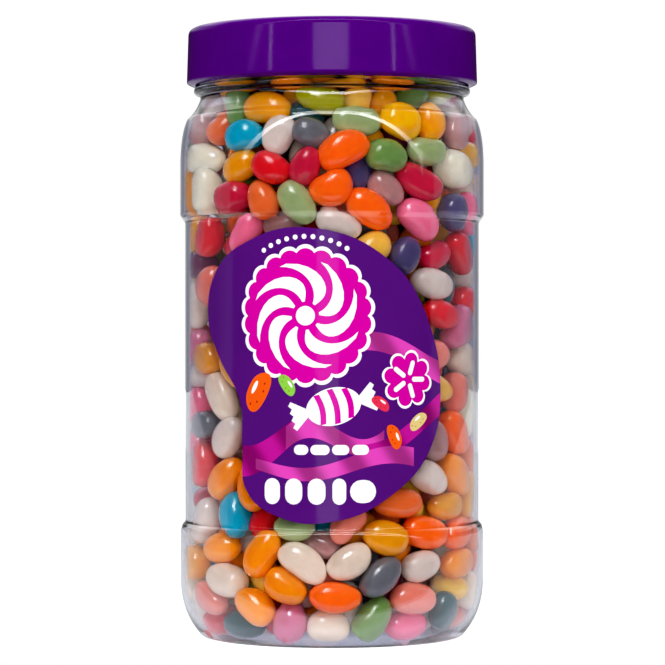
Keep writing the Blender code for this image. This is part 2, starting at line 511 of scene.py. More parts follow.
def looseBeans():
    # small printed beans, each with a highlight and four flecks
    beans = [("orange", (-23.5, 77), 62, 6.4), ("green", (-13.5, 79), -55, 3.6),
             ("red", (15, 73.5), -35, 3.2), ("cream", (27.5, 68), 38, 3.6),
             ("orange", (19.5, 63.5), -68, 3.9)]
    flecks = [(0.5, -0.2), (-0.45, -0.22), (-0.7, 0.05), (0.15, -0.3)]
    shapes = []
    for ink, centre, turn, size in beans:
        shapes.append((place(kidney(size, size * 0.56), centre, turn), ink))
        glint = place([(0.1 * size, 0.2 * size)], centre, turn)[0]
        shapes.append((place(oval(size * 0.34, size * 0.1, 14), glint, turn), "white"))
        for x, y in flecks:
            spot = place([(x * size, y * size)], centre, turn)[0]
            shapes.append((place(oval(size * 0.06, size * 0.045, 8), spot, turn), "fleck"))
    return shapes


def whiteRows():
    # a row of short bars over a row of tall ones that ends in a disc
    shapes = [(place(pill(wide, 1.5), (x, 59.6)), "white")
              for x, wide in ((-9.3, 2.2), (-3.6, 2.9), (2.6, 2.6), (8.6, 2.6))]
    for x, wide in ((-18.4, 2.9), (-11.6, 3.1), (-4.6, 3.1), (2.2, 2.4)):
        shapes.append((place(pill(3.9, wide * 0.86), (x, 47.2), 90), "white"))
    return shapes + [(place(pill(4.0, 3.44), (9.4, 47.2)), "white")]


def labelPrint():
    # the print from the ground up: each shape laid flat with its ink
    return ([(labelOutline(), "ground")] + ribbons() + pinwheelBadge() + wrappedSweet() + flowerBadge()
            + looseBeans() + whiteRows())


def makeInk(name, colour):
    material, tree, shader = newMaterial(name + "Ink")
    shade = ramp(tree, noise(tree, 22, 1), 0.3, 0.7, 0.97, 1.03)
    if name.startswith("ribbon"):
        # a soft roll of light along the ribbon
        x, _, z = axes(tree, "Object")
        roll = calc(tree, "SINE", add(tree, multiply(tree, x, 420.0), multiply(tree, z, 260.0)))
        shade = ramp(tree, roll, -1, 1, 0.75, 1.6)
    feed(tree, shader.inputs["Base Color"], blendColours(tree, 1.0, linear(*colour), shade, "MULTIPLY"))
    feed(tree, shader.inputs["Roughness"], ramp(tree, noise(tree, 8, 2), 0.3, 0.7, 0.08, 0.13))
    shader.inputs["IOR"].default_value = 1.5
    relief(tree, shader, noise(tree, 18, 1), 0.02)
    return material


def flatPrint(sheet):
    # the laid-flat print cut into triangles, each with the number of the ink on top
    points, faces = [], []
    for shape, _ in sheet:
        turn = sum(a[0] * b[1] - b[0] * a[1] for a, b in zip(shape, shape[1:] + shape[:1]))
        if turn < 0:
            shape = shape[::-1]
        faces.append(list(range(len(points), len(points) + len(shape))))
        points += shape
    # a grid of points all over, so that the sheet can be rolled
    edge = sheet[0][0]
    stepX, stepZ = labelStyle["grid"]
    low = [min(p[i] for p in edge) for i in (0, 1)]
    high = [max(p[i] for p in edge) for i in (0, 1)]
    for i in range(int((high[0] - low[0]) / stepX)):
        for j in range(int((high[1] - low[1]) / stepZ)):
            points.append((low[0] + (i + 0.5) * stepX, low[1] + (j + 0.5 * (1 + i % 2)) * stepZ))
    flat, _, triangles, _, _, owners = geometry.delaunay_2d_cdt(
        [Vector(p) for p in points], [], faces, 1, 1e-4)
    names = list(inks)
    kept = [(triangle, names.index(sheet[max(owner)][1]))
            for triangle, owner in zip(triangles, owners) if 0 in owner]
    return flat, kept


def rolledFilm(flat, kept):
    # the film rolled round the waist: its printed face, its back and the edge between them
    radius = labelStyle["radius"]
    inner, outer = labelStyle["film"]
    places = []
    for r in (outer * mm, inner * mm):
        places += [(r * math.sin(v.x / radius), -r * math.cos(v.x / radius), v.y * mm) for v in flat]
    count = len(flat)
    faces = [tuple(triangle) for triangle, _ in kept]
    faces += [tuple(i + count for i in reversed(triangle)) for triangle, _ in kept]
    shades = [ink for _, ink in kept] * 2
    sides = dict.fromkeys((a, b) for tri, _ in kept for a, b in zip(tri, tri[1:] + tri[:1]))
    for a, b in sides:
        if (b, a) not in sides:
            faces.append((b, a, a + count, b + count))
            shades.append(0)
    mesh = bpy.data.meshes.new("printedFilm")
    mesh.from_pydata(places, [], faces)
    mesh.polygons.foreach_set("material_index", shades)
    mesh.shade_smooth()
    mesh.set_sharp_from_angle(angle=math.radians(40))
    return mesh


def makeLabel():
    mesh = rolledFilm(*flatPrint(labelPrint()))
    film = addPiece("printedLabel", mesh, [makeInk(*ink) for ink in inks.items()])
    # points outside the label's edge are taken off again
    work = bmesh.new()
    work.from_mesh(mesh)
    bmesh.ops.delete(work, geom=[v for v in work.verts if not v.link_faces], context="VERTS")
    bmesh.ops.recalc_face_normals(work, faces=work.faces)
    work.to_mesh(mesh)
    work.free()
    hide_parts("label")
    print("label made, %d faces" % len(mesh.polygons))


# the beans in millimetres, and how they are packed
beanStyle = {
    "count": 880,
    "halfLength": (6.9, 8.1),
    "halfWidth": (4.7, 5.6),
    "seed": 3,
    "rounds": 760,
    "startRadius": 36,
    "startHeights": (9, 178),
    "startSize": 0.62,
    "endBalls": 0.86,  # size of the two end balls against the middle one
    "coreRadius": 22.0,  # beans nearer the axis are never seen and left out
    "press": 1.8,  # how far a bean at the jar's sides is pushed on to the wall
    "turnedIn": 0.45,  # how far a laid bean faces the front instead of the wall
    "wallRadius": 34,  # beans outside it turn to lie along the wall
    "flattening": (1.1, 1.0),  # where it starts before the wall, and how softly
    "clear": 0.24,
    "softDepth": 5.0,
    "tint": (0.88, 1.08),  # darkest and lightest bean of a kind
    "grain": 0.028,
    "forms": 10,
    "rings": 16,
    "segments": 22,
}

# the kinds of bean: colour, share low in the jar, share high up, and how much light goes into them
beanKinds = {
    "amber": ((230, 156, 12), 8, 10, 0.8),
    "orange": ((242, 144, 18), 10, 5, 0.7),
    "tangerine": ((248, 106, 24), 7, 7, 0.6),
    "lemon": ((252, 186, 0), 2, 4, 0.8),
    "lime": ((162, 160, 4), 1, 3, 0.8),
    "vanilla": ((226, 206, 190), 9, 7, 0.8),
    "coconut": ((222, 206, 198), 10, 6, 0.9),
    "pearl": ((240, 232, 212), 3, 4, 0.9),
    "peach": ((244, 188, 84), 5, 3, 0.8),
    "salmon": ((228, 134, 118), 8, 4, 0.8),
    "rose": ((236, 118, 150), 4, 6, 0.6),
    "lilac": ((208, 120, 150), 3, 2, 0.8),
    "crimson": ((184, 34, 66), 5, 6, 0.5),
    "cherry": ((208, 30, 42), 4, 6, 0.5),
    "tomato": ((220, 110, 54), 4, 4, 0.6),
    "plum": ((104, 34, 74), 2, 4, 0.5),
    "azure": ((0, 156, 184), 3, 3, 0.5),
    "leaf": ((114, 142, 82), 3, 6, 0.7),
    "pear": ((164, 178, 132), 3, 5, 0.9),
    "pine": ((36, 74, 76), 2, 2, 0.4),
    "slate": ((106, 106, 112), 2, 4, 0.5),
    "navy": ((76, 68, 106), 2, 4, 0.4),
    "cocoa": ((178, 136, 134), 3, 3, 0.9),
}

# beans laid one by one against the wall, in millimetres:
# kind, sideways, height, half length, half width, tilt in degrees, set back from the wall
laidBeans = [
    ("cocoa", -36.5, 163.5, 6.4, 5, 80, 0), ("leaf", -28, 162.5, 6.8, 4.7, 85, 2),
    ("amber", -19, 162, 7.8, 5.1, -12, 0), ("cocoa", -38, 156.5, 6.2, 4.6, 60, 2),
    ("tomato", -31.5, 157, 6, 4.6, 30, 3), ("azure", -26, 153.5, 6.3, 5, 10, 0),
    ("coconut", -15.5, 153.5, 6.3, 5.1, 55, 0), ("slate", -6, 153.5, 6.5, 4.7, -25, 1.5),
    ("tangerine", 3, 149.5, 8.3, 5.7, 35, 0), ("leaf", -40, 151.5, 6, 4.5, 0, 2),
    ("pearl", -37.5, 147, 7.9, 5.1, -12, 0), ("amber", -27, 144.5, 6.5, 4.7, 60, 1),
    ("cherry", -18, 144, 6.4, 5.1, -30, 0), ("crimson", -7.5, 144, 6.5, 5, 60, 1),
    ("tangerine", -0.5, 138, 6.9, 5.8, 10, 0), ("pearl", -37, 138.5, 7.3, 5.6, 92, 0),
    ("leaf", -42.5, 138.5, 6, 4.6, 90, 2), ("crimson", -29, 136, 6.5, 5.2, 20, 0),
    ("tomato", -20.5, 134.5, 6.5, 4.9, 105, 0), ("pear", -10, 133.5, 7.5, 5.2, -62, 0),
    ("plum", -41.5, 131, 6, 4.6, 90, 1), ("cherry", -36, 124, 6.5, 5.1, 70, 0),
    ("rose", -25.5, 124.5, 7.2, 4.8, 52, 0), ("cocoa", -14.5, 127, 6.4, 4.8, 0, 3),
    ("coconut", 2, 127.5, 7.4, 4.8, -18, 1), ("lime", -4, 164, 7.7, 4.8, 0, 0),
    ("peach", 7.5, 163.5, 6.5, 4.7, 80, 3), ("amber", 15, 162, 6.5, 4.8, 80, 3),
    ("lemon", 20.5, 158.5, 6.9, 5.6, -50, 0), ("amber", 29, 158, 6.2, 4.6, 85, 0.5),
    ("cocoa", 36.5, 156, 6, 4.6, 75, 0), ("cherry", 40, 156, 6, 4.5, 60, 2),
    ("pear", 7, 157.5, 7.5, 4.9, -5, 2.5), ("pine", -8, 160.5, 6, 4.6, 0, 4),
    ("leaf", 16, 147, 6.6, 5.4, -12, 0), ("pear", 28, 149.5, 6.3, 4.7, -5, 0),
    ("peach", 39.5, 149.5, 6.2, 4.6, -10, 1), ("navy", 8, 142.5, 6.3, 4.7, 60, 5),
    ("crimson", 25.5, 140, 8.1, 5.2, -18, 0), ("pearl", 36, 144.5, 7.2, 6.0, -25, 0),
    ("cocoa", 16, 138, 6.4, 4.7, -30, 3), ("vanilla", 41, 139.5, 6, 4.6, -20, 2),
    ("tangerine", 11, 131.5, 8.2, 5.3, -35, 0), ("rose", 26, 129, 7.8, 5.4, -42, 0),
    ("navy", 35.5, 131, 6.3, 5.1, -45, 0), ("amber", 28.5, 134, 6, 4.6, 20, 5),
    ("coconut", 42, 130.5, 6, 4.5, 90, 1), ("amber", -28, 171, 6.6, 4.8, 20, 1),
    ("orange", -12, 173, 6.8, 4.8, 5, 1), ("amber", 4, 174, 6.8, 4.8, -10, 1),
    ("orange", 18, 172, 6.8, 4.8, 15, 1), ("lime", 31, 169, 6.4, 4.6, 0, 1),
    ("plum", -38.5, 115.5, 6.2, 4.7, 0, 0), ("salmon", -35.5, 109, 6.5, 4.8, 70, 1),
    ("coconut", -39.5, 103, 7.7, 4.6, 90, 0), ("lilac", -39.5, 90, 6.2, 4.9, 60, 0),
    ("coconut", -38.5, 81.5, 6.2, 4.5, 15, 1), ("vanilla", -32.5, 75, 8.2, 5, -55, 0),
    ("cherry", -30.5, 79, 6.2, 4.7, 30, 4), ("rose", -39, 71, 7.2, 4.6, 85, 1),
    ("coconut", -30.5, 63, 7, 4.9, 72, 0), ("cherry", -37.5, 54, 7.4, 5.2, 90, 0),
    ("orange", -31, 50, 7.6, 5, 58, 0), ("crimson", -39.5, 42.5, 6, 4.6, 20, 2),
    ("coconut", -37, 36.5, 7.8, 5, 65, 0), ("azure", -28, 39, 7.5, 5.5, -62, 0),
    ("pear", -11, 36, 6.4, 4.6, 0, 1), ("cherry", -21, 37.5, 6, 4.6, 40, 5),
    ("amber", -40, 23.5, 6, 4.9, -60, 0), ("orange", -32, 29, 6.3, 4.8, 20, 1.5),
    ("vanilla", -31, 19, 7, 5.5, -15, 0), ("orange", -20.5, 28, 8, 5.2, 58, 0),
    ("vanilla", -8.5, 25.5, 8.4, 5.2, -40, 0), ("orange", -13.5, 18.5, 7, 5.4, -32, 0.5),
    ("orange", -23, 12, 7, 5.2, -35, 0), ("salmon", -35, 13.5, 6.5, 4.5, -28, 0),
    ("pine", -26, 5.7, 7, 4.6, -8, 2.5), ("lilac", -12.5, 7.8, 6.5, 5.4, 80, 2),
    ("cocoa", -3.5, 30.5, 6.3, 4.7, 0, 4), ("tangerine", 1, 15.5, 8, 4.9, -6, 0),
    ("vanilla", -1, 6.4, 6.6, 5.2, 0, 2.5), ("vanilla", 5, 26, 7.4, 5.1, 30, 0),
    ("salmon", 4.5, 37, 6.8, 4.7, 50, 0), ("amber", 16, 33, 7.3, 5.6, -20, 0),
    ("tangerine", 27.5, 34, 7.4, 5.5, -8, 0), ("tomato", 40.5, 32, 6, 5, -60, 0),
    ("slate", 14.5, 21.5, 7.6, 5.1, 47, 0), ("coconut", 26.5, 24, 6.4, 5, 25, 0),
    ("orange", 36.5, 23.5, 6.4, 4.9, 25, 0), ("peach", 35, 17, 6, 4.6, -20, 2),
    ("leaf", 12, 8.7, 7.4, 5.3, 50, 1.5), ("salmon", 24, 14.5, 7.4, 5.2, -5, 0),
    ("tomato", 19.5, 43.5, 7.9, 5.2, -5, 0), ("amber", 33, 41.5, 6, 4.6, 5, 0.5),
    ("pine", 32.5, 10, 6, 4.5, 65, 1), ("vanilla", 40, 15, 6.2, 4.6, 62, 0),
    ("rose", 22, 5.9, 7.1, 4.7, 5, 2.5), ("salmon", 35, 6.4, 6, 4.6, 0, 2.5),
    ("coconut", -37, 8.5, 5.8, 4.4, 60, 2), ("azure", 39.5, 121, 5.8, 4.8, 10, 0),
    ("navy", 21.5, 117.5, 6.6, 5.2, 60, 0), ("crimson", 30.5, 118, 6, 4.7, 30, 2),
    ("coconut", 29.5, 109.5, 7.2, 5, -15, 0), ("coconut", 40, 112.5, 6.2, 4.8, -10, 0.5),
    ("cherry", 39.5, 103.5, 5.8, 5, -40, 0), ("cherry", 32, 100, 6.4, 4.7, -25, 0.5),
    ("cocoa", 38, 95, 6.2, 4.7, 20, 1.5), ("vanilla", 38, 86.5, 6.7, 5.4, -20, 0),
    ("salmon", 36, 76, 6.4, 4.6, 90, 1), ("vanilla", 41, 76.5, 6.2, 4.6, -60, 0.5),
    ("tangerine", 35.5, 64, 7.4, 5.2, -62, 0), ("lilac", 41, 67.5, 6, 4.6, 60, 1.5),
    ("tomato", 42, 55, 6.8, 4.3, 90, 1), ("orange", 35.5, 51, 7.6, 5.3, -50, 0.5),
    ("coconut", 28.5, 50.5, 6.8, 5, -32, 0), ("coconut", 41.5, 43.5, 6, 4.5, 30, 0.5),
]


class Walls:
    # the jar's inside as a line of straight runs, each with its inward normal
    def __init__(self):
        inside = jarInside(4)
        inside += [(inside[-1][0], fillHigh.z - 0.5), (0, fillHigh.z - 0.5)]
        line = np.array(inside)
        self.start = line[:-1]
        self.run = line[1:] - line[:-1]
        self.length2 = (self.run ** 2).sum(1)
        self.normal = np.stack([-self.run[:, 1], self.run[:, 0]], 1) / np.sqrt(self.length2)[:, None]
        ends = self.start + self.run
        rising = self.run[:, 1] > 0.001
        self.side = ends[rising, 1], ends[rising, 0]

    def radius(self, height):
        return float(np.interp(height, *self.side))

    def push(self, spots, radii):
        # how far each ball must move to lie inside the walls
        out = np.hypot(spots[:, 0], spots[:, 1]) + 1e-9
        flat = np.stack([out, spots[:, 2]], 1)
        along = ((flat[:, None] - self.start) * self.run).sum(2) / self.length2
        near = self.start + np.clip(along, 0, 1)[..., None] * self.run
        gap = flat[:, None] - near
        far = np.sqrt((gap ** 2).sum(2))
        nearest = far.argmin(1)
        rows = np.arange(len(flat))
        gap, far, normal = gap[rows, nearest], far[rows, nearest], self.normal[nearest]
        side = np.where((gap * normal).sum(1) < 0, -1.0, 1.0)
        aim = np.where((far > 1e-4)[:, None], gap / np.maximum(far, 1e-6)[:, None] * side[:, None], normal)
        depth = np.maximum(radii - side * far, 0)
        push = np.stack([spots[:, 0] / out * aim[:, 0], spots[:, 1] / out * aim[:, 0], aim[:, 1]], 1)
        return push * depth[:, None]


def layBeans(walls):
    # where the laid beans lie: centre, direction, half length and half width
    spots, aims, sizes = [], [], []
    for _, across, height, long, wide, tilt, back in laidBeans:
        tilt = math.radians(tilt)
        level = math.cos(tilt)
        wall = walls.radius(height)
        around = math.asin(max(-1, min(1, across / (wall - wide - back))))
        inward = around * beanStyle["turnedIn"] * level ** 2
        out = wall - math.hypot(wide * math.cos(inward), long * level * math.sin(inward)) - back
        across = max(-out, min(out, across))
        around = math.asin(across / out)
        spots.append((across, -out * math.cos(around), height))
        faces = around - inward
        aims.append((math.cos(faces) * level, math.sin(faces) * level, math.sin(tilt)))
        sizes.append((long, wide))
    return np.array(spots), np.array(aims), np.array(sizes)


def unit(rows):
    return rows / np.linalg.norm(rows, axis=1)[:, None]


def scatterBeans(walls):
    # starting places, directions and sizes, the laid beans first
    style = beanStyle
    laid, count = len(laidBeans), style["count"]
    chance = np.random.default_rng(style["seed"])
    halfLength = chance.uniform(*style["halfLength"], count)
    halfWidth = chance.uniform(*style["halfWidth"], count)
    out = style["startRadius"] * np.sqrt(chance.uniform(0, 1, count))
    angle = chance.uniform(0, math.tau, count)
    height = chance.uniform(*style["startHeights"], count)
    centre = np.stack([out * np.cos(angle), out * np.sin(angle), height], 1)
    aim = unit(chance.normal(size=(count, 3)))
    centre[:laid], aim[:laid], sizes = layBeans(walls)
    halfLength[:laid], halfWidth[:laid] = sizes.T
    return centre, aim, halfLength, halfWidth


def pushApart(spots, radii, first, second):
    # moves the balls of each pair of beans out of each other, and returns the deepest touch
    count = len(spots)
    gap = spots[first][:, :, None] - spots[second][:, None]
    far = np.sqrt((gap ** 2).sum(3)) + 1e-9
    over = np.maximum(radii[first][:, :, None] + radii[second][:, None] - far, 0)
    shove = gap / far[..., None] * (over * 0.5)[..., None]
    for ball in range(3):
        for axis in range(3):
            spots[:, ball, axis] += 0.45 * (
                np.bincount(first, shove[:, ball, :, axis].sum(1), count)
                - np.bincount(second, shove[:, :, ball, axis].sum(1), count))
    return over.max()


def settleBeans(walls):
    # each bean is three balls in a row; they grow, push each other apart and sink until they are packed
    style = beanStyle
    laid, count, rounds, startSize = len(laidBeans), style["count"], style["rounds"], style["startSize"]
    centre, aim, halfLength, halfWidth = scatterBeans(walls)
    home, homeAim = centre[:laid].copy(), aim[:laid].copy()
    balls = np.stack([halfWidth, halfWidth * style["endBalls"], halfWidth * style["endBalls"]], 1)
    reach = halfLength - balls[:, 1]
    ends = np.array([0, -1, 1])[None, :, None]
    for step in range(rounds):
        size = np.full(count, startSize + (1 - startSize) * min(1, step / (rounds * 0.35)))
        size[:laid] = 1
        spots = centre[:, None] + ends * (reach * size)[:, None, None] * aim[:, None]
        radii = balls * size[:, None]
        if step % 8 == 0:
            apart = ((centre[:, None] - centre) ** 2).sum(2)
            far = halfLength * size
            first, second = np.nonzero(np.triu(apart < (far[:, None] + far + 1) ** 2, 1))
        deepest = pushApart(spots, radii, first, second)
        spots[laid:, :, 2] -= 0.02 * min(1, max(0, (rounds * 0.8 - step) / 100))
        spots += walls.push(spots.reshape(-1, 3), radii.reshape(-1)).reshape(spots.shape)
        centre = spots[:, 0] * 0.4 + spots[:, 1] * 0.3 + spots[:, 2] * 0.3
        aim = spots[:, 2] - spots[:, 1]
        # beans by the wall turn to lie along it
        out = np.hypot(centre[:, 0], centre[:, 1]) + 1e-6
        radial = np.stack([centre[:, 0] / out, centre[:, 1] / out, np.zeros(count)], 1)
        aim -= radial * ((aim * radial).sum(1) * 0.06 * (out > style["wallRadius"]))[:, None]
        # the laid beans give way a little, then return
        centre[:laid] += (home - centre[:laid]) * (0.35, 0.12, 0.35)
        aim = unit(aim)
        aim[:laid] += homeAim * 0.3
        aim = unit(aim)
    print("beans packed, deepest touch %.2f mm, top %.1f mm" % (deepest, centre[:, 2].max()))
    return centre, aim, halfLength, halfWidth


def beanForm(chance):
    # one smooth bean, its length along X from -1 to 1, with a hollow on its +Y side
    rings, segments = beanStyle["rings"], beanStyle["segments"]
    full = chance.uniform(0.78, 0.9)
    taper = chance.uniform(-0.1, 0.1)
    curl = chance.uniform(0.02, 0.16)
    dent = chance.uniform(0, 1) ** 2 * 0.22
    points = []
    for ring in range(1, rings):
        u = math.pi * ring / rings
        x = math.cos(u)
        for segment in range(segments):
            v = math.tau * segment / segments
            out = math.sin(u) ** full * (1 + taper * x) * (1 + 0.02 * math.sin(2 * v + 3 * x))
            hollow = dent * math.exp(-(x / 0.4) ** 2) * max(0, math.cos(v)) ** 2
            points.append((x, out * math.cos(v) - hollow + curl * (x * x - 0.35), out * math.sin(v)))
    points += [(1, curl * 0.65, 0), (-1, curl * 0.65, 0)]
    return np.array(points)


def beanFaces():
    # the faces of one bean: its rings, and a fan at each tip
    rings, segments = beanStyle["rings"], beanStyle["segments"]
    top, bottom = (rings - 1) * segments, (rings - 1) * segments + 1
    faces = []
    for segment in range(segments):
        after = (segment + 1) % segments
        faces.append((top, segment, after))
        faces.append((bottom, (rings - 2) * segments + after, (rings - 2) * segments + segment))
        for ring in range(rings - 2):
            a, b = ring * segments + segment, ring * segments + after
            faces.append((a, a + segments, b + segments, b))
    return faces


def beanSkin(name, colour, soft):
    # polished sugar shell over a slightly see-through body
    material, tree, shader = newMaterial(name + "Shell")
    island = tree.nodes.new("ShaderNodeNewGeometry").outputs["Random Per Island"]
    shade = ramp(tree, island, 0, 1, *beanStyle["tint"], smooth=False)
    cloud = ramp(tree, noise(tree, 2.0, 4, 0.75), 0.3, 0.7, 0.94, 1.05)
    shade = calc(tree, "MULTIPLY", shade, cloud)
    sugar = linear(*colour)
    feed(tree, shader.inputs["Base Color"], blendColours(tree, 1.0, sugar, shade, "MULTIPLY"))
    feed(tree, shader.inputs["Roughness"], ramp(tree, noise(tree, 1.2, 4, 0.6), 0.3, 0.75, 0.08, 0.16))
    setInputs(shader, {
        "Transmission Weight": beanStyle["clear"],
        "IOR": 1.5,
        "Coat Weight": 1.0,
        "Coat Roughness": 0.04,
        "Coat IOR": 1.5,
        "Subsurface Weight": soft,
        "Subsurface Radius": [0.25 + 0.75 * c / max(sugar[:3]) for c in sugar[:3]],
        "Subsurface Scale": beanStyle["softDepth"] * mm,
    })
    relief(tree, shader, noise(tree, 0.9, 3, 0.65), beanStyle["grain"])
    tree.links.new(shader.inputs["Normal"].links[0].from_socket, shader.inputs["Coat Normal"])
    return material


def pressed(points, walls):
    # a bean pushed out against the wall and flattened there, most at the jar's two sides
    clearance, give = beanStyle["flattening"]
    out = np.hypot(points[:, 0], points[:, 1])
    wall = np.interp(points[:, 2], *walls.side)
    beside = np.clip((np.abs(points[:, 0]).mean() / wall.mean() - 0.55) / 0.3, 0, 1)
    near = np.clip((out.max() - wall.min() + 3) / 2, 0, 1)
    moved = out + beanStyle["press"] * beside * near
    free = wall - clearance
    moved = np.where(moved > free, free + give * (1 - np.exp(-np.maximum(moved - free, 0) / give)), moved)
    scale = np.where(out > 1, moved / np.maximum(out, 1), 1)
    return points * np.stack([scale, scale, np.ones_like(scale)], 1)


def beanBasis(axis, half, wide, turn):
    # a bean's three half sizes as directions: along it, and two across it at a turn about it
    side = np.array(Vector(axis).orthogonal().normalized())
    side = side * math.cos(turn) + np.cross(axis, side) * math.sin(turn)
    return np.stack([axis * half, side * wide, np.cross(axis, side) * wide * 0.96])


def heapBeans():
    # the points of every bean that can be seen, sorted by kind
    style = beanStyle
    walls = Walls()
    chance = random.Random(style["seed"])
    forms = [beanForm(chance) for _ in range(style["forms"])]
    names = list(beanKinds)
    heaps = {name: [] for name in names}
    for number, (spot, axis, half, wide) in enumerate(zip(*settleBeans(walls))):
        if math.hypot(spot[0], spot[1]) < style["coreRadius"] and spot[2] < fillHigh.z - 12:
            continue
        height = spot[2] / jarHigh.z
        weights = [low * (1 - height) + high * height for _, low, high, _ in beanKinds.values()]
        name = laidBeans[number][0] if number < len(laidBeans) else chance.choices(names, weights)[0]
        form = chance.choice(forms)
        basis = beanBasis(axis, half, wide, chance.uniform(0, math.tau))
        heaps[name].append(pressed(form @ basis * 0.985 + spot, walls) * mm)
    return heaps


def makeBeans():
    faces = beanFaces()
    heaps = heapBeans()
    for name, beans in heaps.items():
        colour, _, _, soft = beanKinds[name]
        size = len(beans[0])
        every = [tuple(i + number * size for i in face) for number in range(len(beans)) for face in faces]
        mesh = bpy.data.meshes.new(name)
        mesh.from_pydata(np.concatenate(beans).tolist(), [], every)
        mesh.shade_smooth()
        pile = addPiece(name + "Beans", mesh, [beanSkin(name, colour, soft)])
        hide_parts("beans")
    print("beans made:", {name: len(beans) for name, beans in heaps.items()})
    return [name + "Beans" for name in heaps]


def makeCore():
    # what shows between the outer beans: a dark core in the heap's middle, whose brown and slate colours
    # are painted shade
    radius, top, bottom = beanStyle["coreRadius"], fillHigh.z - 14, 10
    profile = [(0, top), (radius - 4, top), (radius, top - 4)]
    profile += [(radius, bottom + 4), (radius - 4, bottom), (0, bottom)]
    line = [profile[0]]
    for start, end in zip(profile, profile[1:]):
        parts = max(1, math.ceil(math.dist(start, end) / 3))
        line += [tuple(s + (e - s) * i / parts for s, e in zip(start, end)) for i in range(1, parts + 1)]
    material, tree, shader = newMaterial("heapShade")
    shader.inputs["Roughness"].default_value = 0.5
    # painted shade: patches of dark brown and dark slate where the hidden beans would lie in shadow
    shadePatches = ramp(tree, noise(tree, 9, 2), 0.35, 0.65)
    feed(tree, shader.inputs["Base Color"],
         blendColours(tree, shadePatches, linear(92, 50, 44), linear(54, 54, 68)))
    core = turned("heapCore", line, 48, [material], 180)
    for vertex in core.data.vertices:
        out = math.hypot(vertex.co.x, vertex.co.y)
        lump = math.sin(vertex.co.z / mm * 0.55) * math.sin(math.atan2(vertex.co.y, vertex.co.x) * 9)
        if out > 1 * mm:
            vertex.co.x *= 1 + 0.06 * lump
            vertex.co.y *= 1 + 0.06 * lump
    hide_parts("beans")
    print("core made")
    return [core.name]


# the studio: millimetres for the camera and the table, metres for lamps, degrees for directions
studio = {
    "cameraFar": 930.0,
    "cameraHeight": 94.5,
    "cameraSide": 0.16,
    "lens": 161.1,
    "lampAim": 0.12,
    # the pieces that a lamp lights, its place, size and power, and whether it lights their body,
    # shows in their gloss, or both
    "lamps": {
        "beanLamp": ("beans", (-0.2, -0.72, 0.92), (0.46, 0.3), 5.4, "body"),
        "beanShine": ("beans", (-0.25, -0.72, 0.92), (0.38, 0.66), 70.0, "gloss"),
        "behindNear": ("jarShell", (0, 1.5, 0.12), (1.1, 1.3), 0.8, "gloss"),
        "behindWide": ("jarShell", (0, 1.6, 0.12), (2.3, 1.3), 1.3, "gloss"),
        "beanLeft": ("beans", (-0.8, -0.75, 0.35), (0.8, 0.8), 5.4, "body"),
        "beanRight": ("beans", (0.8, -0.75, 0.35), (0.8, 0.8), 6.4, "body"),
        "beanFront": ("beans", (0.05, -1.3, 0.05), (1.0, 0.8), 12.5, "body"),
        "keyLamp": ("rest", (-0.04, -0.72, 0.92), (0.5, 0.34), 4.6, "body"),
        "lidPanel": ("screwCap", (-0.01, -0.7, 0.3), (0.335, 0.16), 0.6, "gloss"),
        "lidLeft": ("screwCap", (-0.52, -0.468, 0.3), (0.02, 0.16), 0.08, "gloss"),
        "lidRight": ("screwCap", (0.52, -0.468, 0.3), (0.02, 0.16), 0.08, "gloss"),
        "labelBand": ("printedLabel", (-0.04, -0.7, 0.06), (0.2, 0.4), 0.2, "both"),
    },
    "contrast": [(0.015, 0.003), (0.05, 0.03), (0.1, 0.072), (0.2, 0.18), (0.5, 0.53), (0.8, 0.84)],
    "pale": 1.0,  # the paper behind the jar
    "backdrop": (0.78, 0.79, 1.0, 1),  # its colour through the jar's clear edges
    "room": 0.04,
    "fill": 0.5,
    "sweep": (0.28, 0.05),  # the paper beside the jar, near the front and further round
    "above": 0.6,
    "through": 0.55,
    "mirrorLoss": 0.35,  # how much of that is lost in reflections
    "bow": (9.0, 0.8),  # the curved lamp, in its middle and at its ends
    "ground": 0.8,
    "ceiling": 0.3,
    "backPanel": 1.2,
    "tableFront": -59.0,
    "tableEnds": (60.0, 250.0),
    "tableGlow": (0.68, 0.25),
    "underneath": 0.18,
}


def patch(tree, azimuth, elevation, sides, heights, level, soft=1.5):
    # a rectangle of light between two azimuths and two elevations, in degrees
    return multiply(tree, ramp(tree, azimuth, sides[0] - soft, sides[0]),
                    ramp(tree, azimuth, sides[1] + soft, sides[1]),
                    ramp(tree, elevation, heights[0] - soft, heights[0]),
                    ramp(tree, elevation, heights[1] + soft, heights[1]), level)


def clearView(tree):
    # 1 for what is seen straight through clear plastic
    path = tree.nodes.new("ShaderNodeLightPath")
    straight = calc(tree, "LESS_THAN", path.outputs["Diffuse Depth"], 0.5)
    return multiply(tree, path.outputs["Is Transmission Ray"], straight)


def skyAngles(tree):
    # a direction's azimuth from the front and its elevation, in degrees
    x, y, z = axes(tree, "Generated")
    azimuth = multiply(tree, calc(tree, "ARCTAN2", x, multiply(tree, y, -1)), 180 / math.pi)
    elevation = multiply(tree, calc(tree, "ARCSINE", z), 180 / math.pi)
    return azimuth, elevation


def bowLamp(tree, azimuth, aside, elevation):
    # a long lamp that curves down and thins out to both sides
    middle = ramp(tree, aside, 12, 80, 48, 3)
    thickness = add(tree, 1, multiply(tree, middle, 0.035))
    rise = calc(tree, "DIVIDE", calc(tree, "SUBTRACT", elevation, middle), thickness)
    return multiply(tree, patch(tree, azimuth, rise, (-70, 72), (-1.2, 1.2), 1, 0.6),
                    ramp(tree, aside, 20, 75, *studio["bow"]))


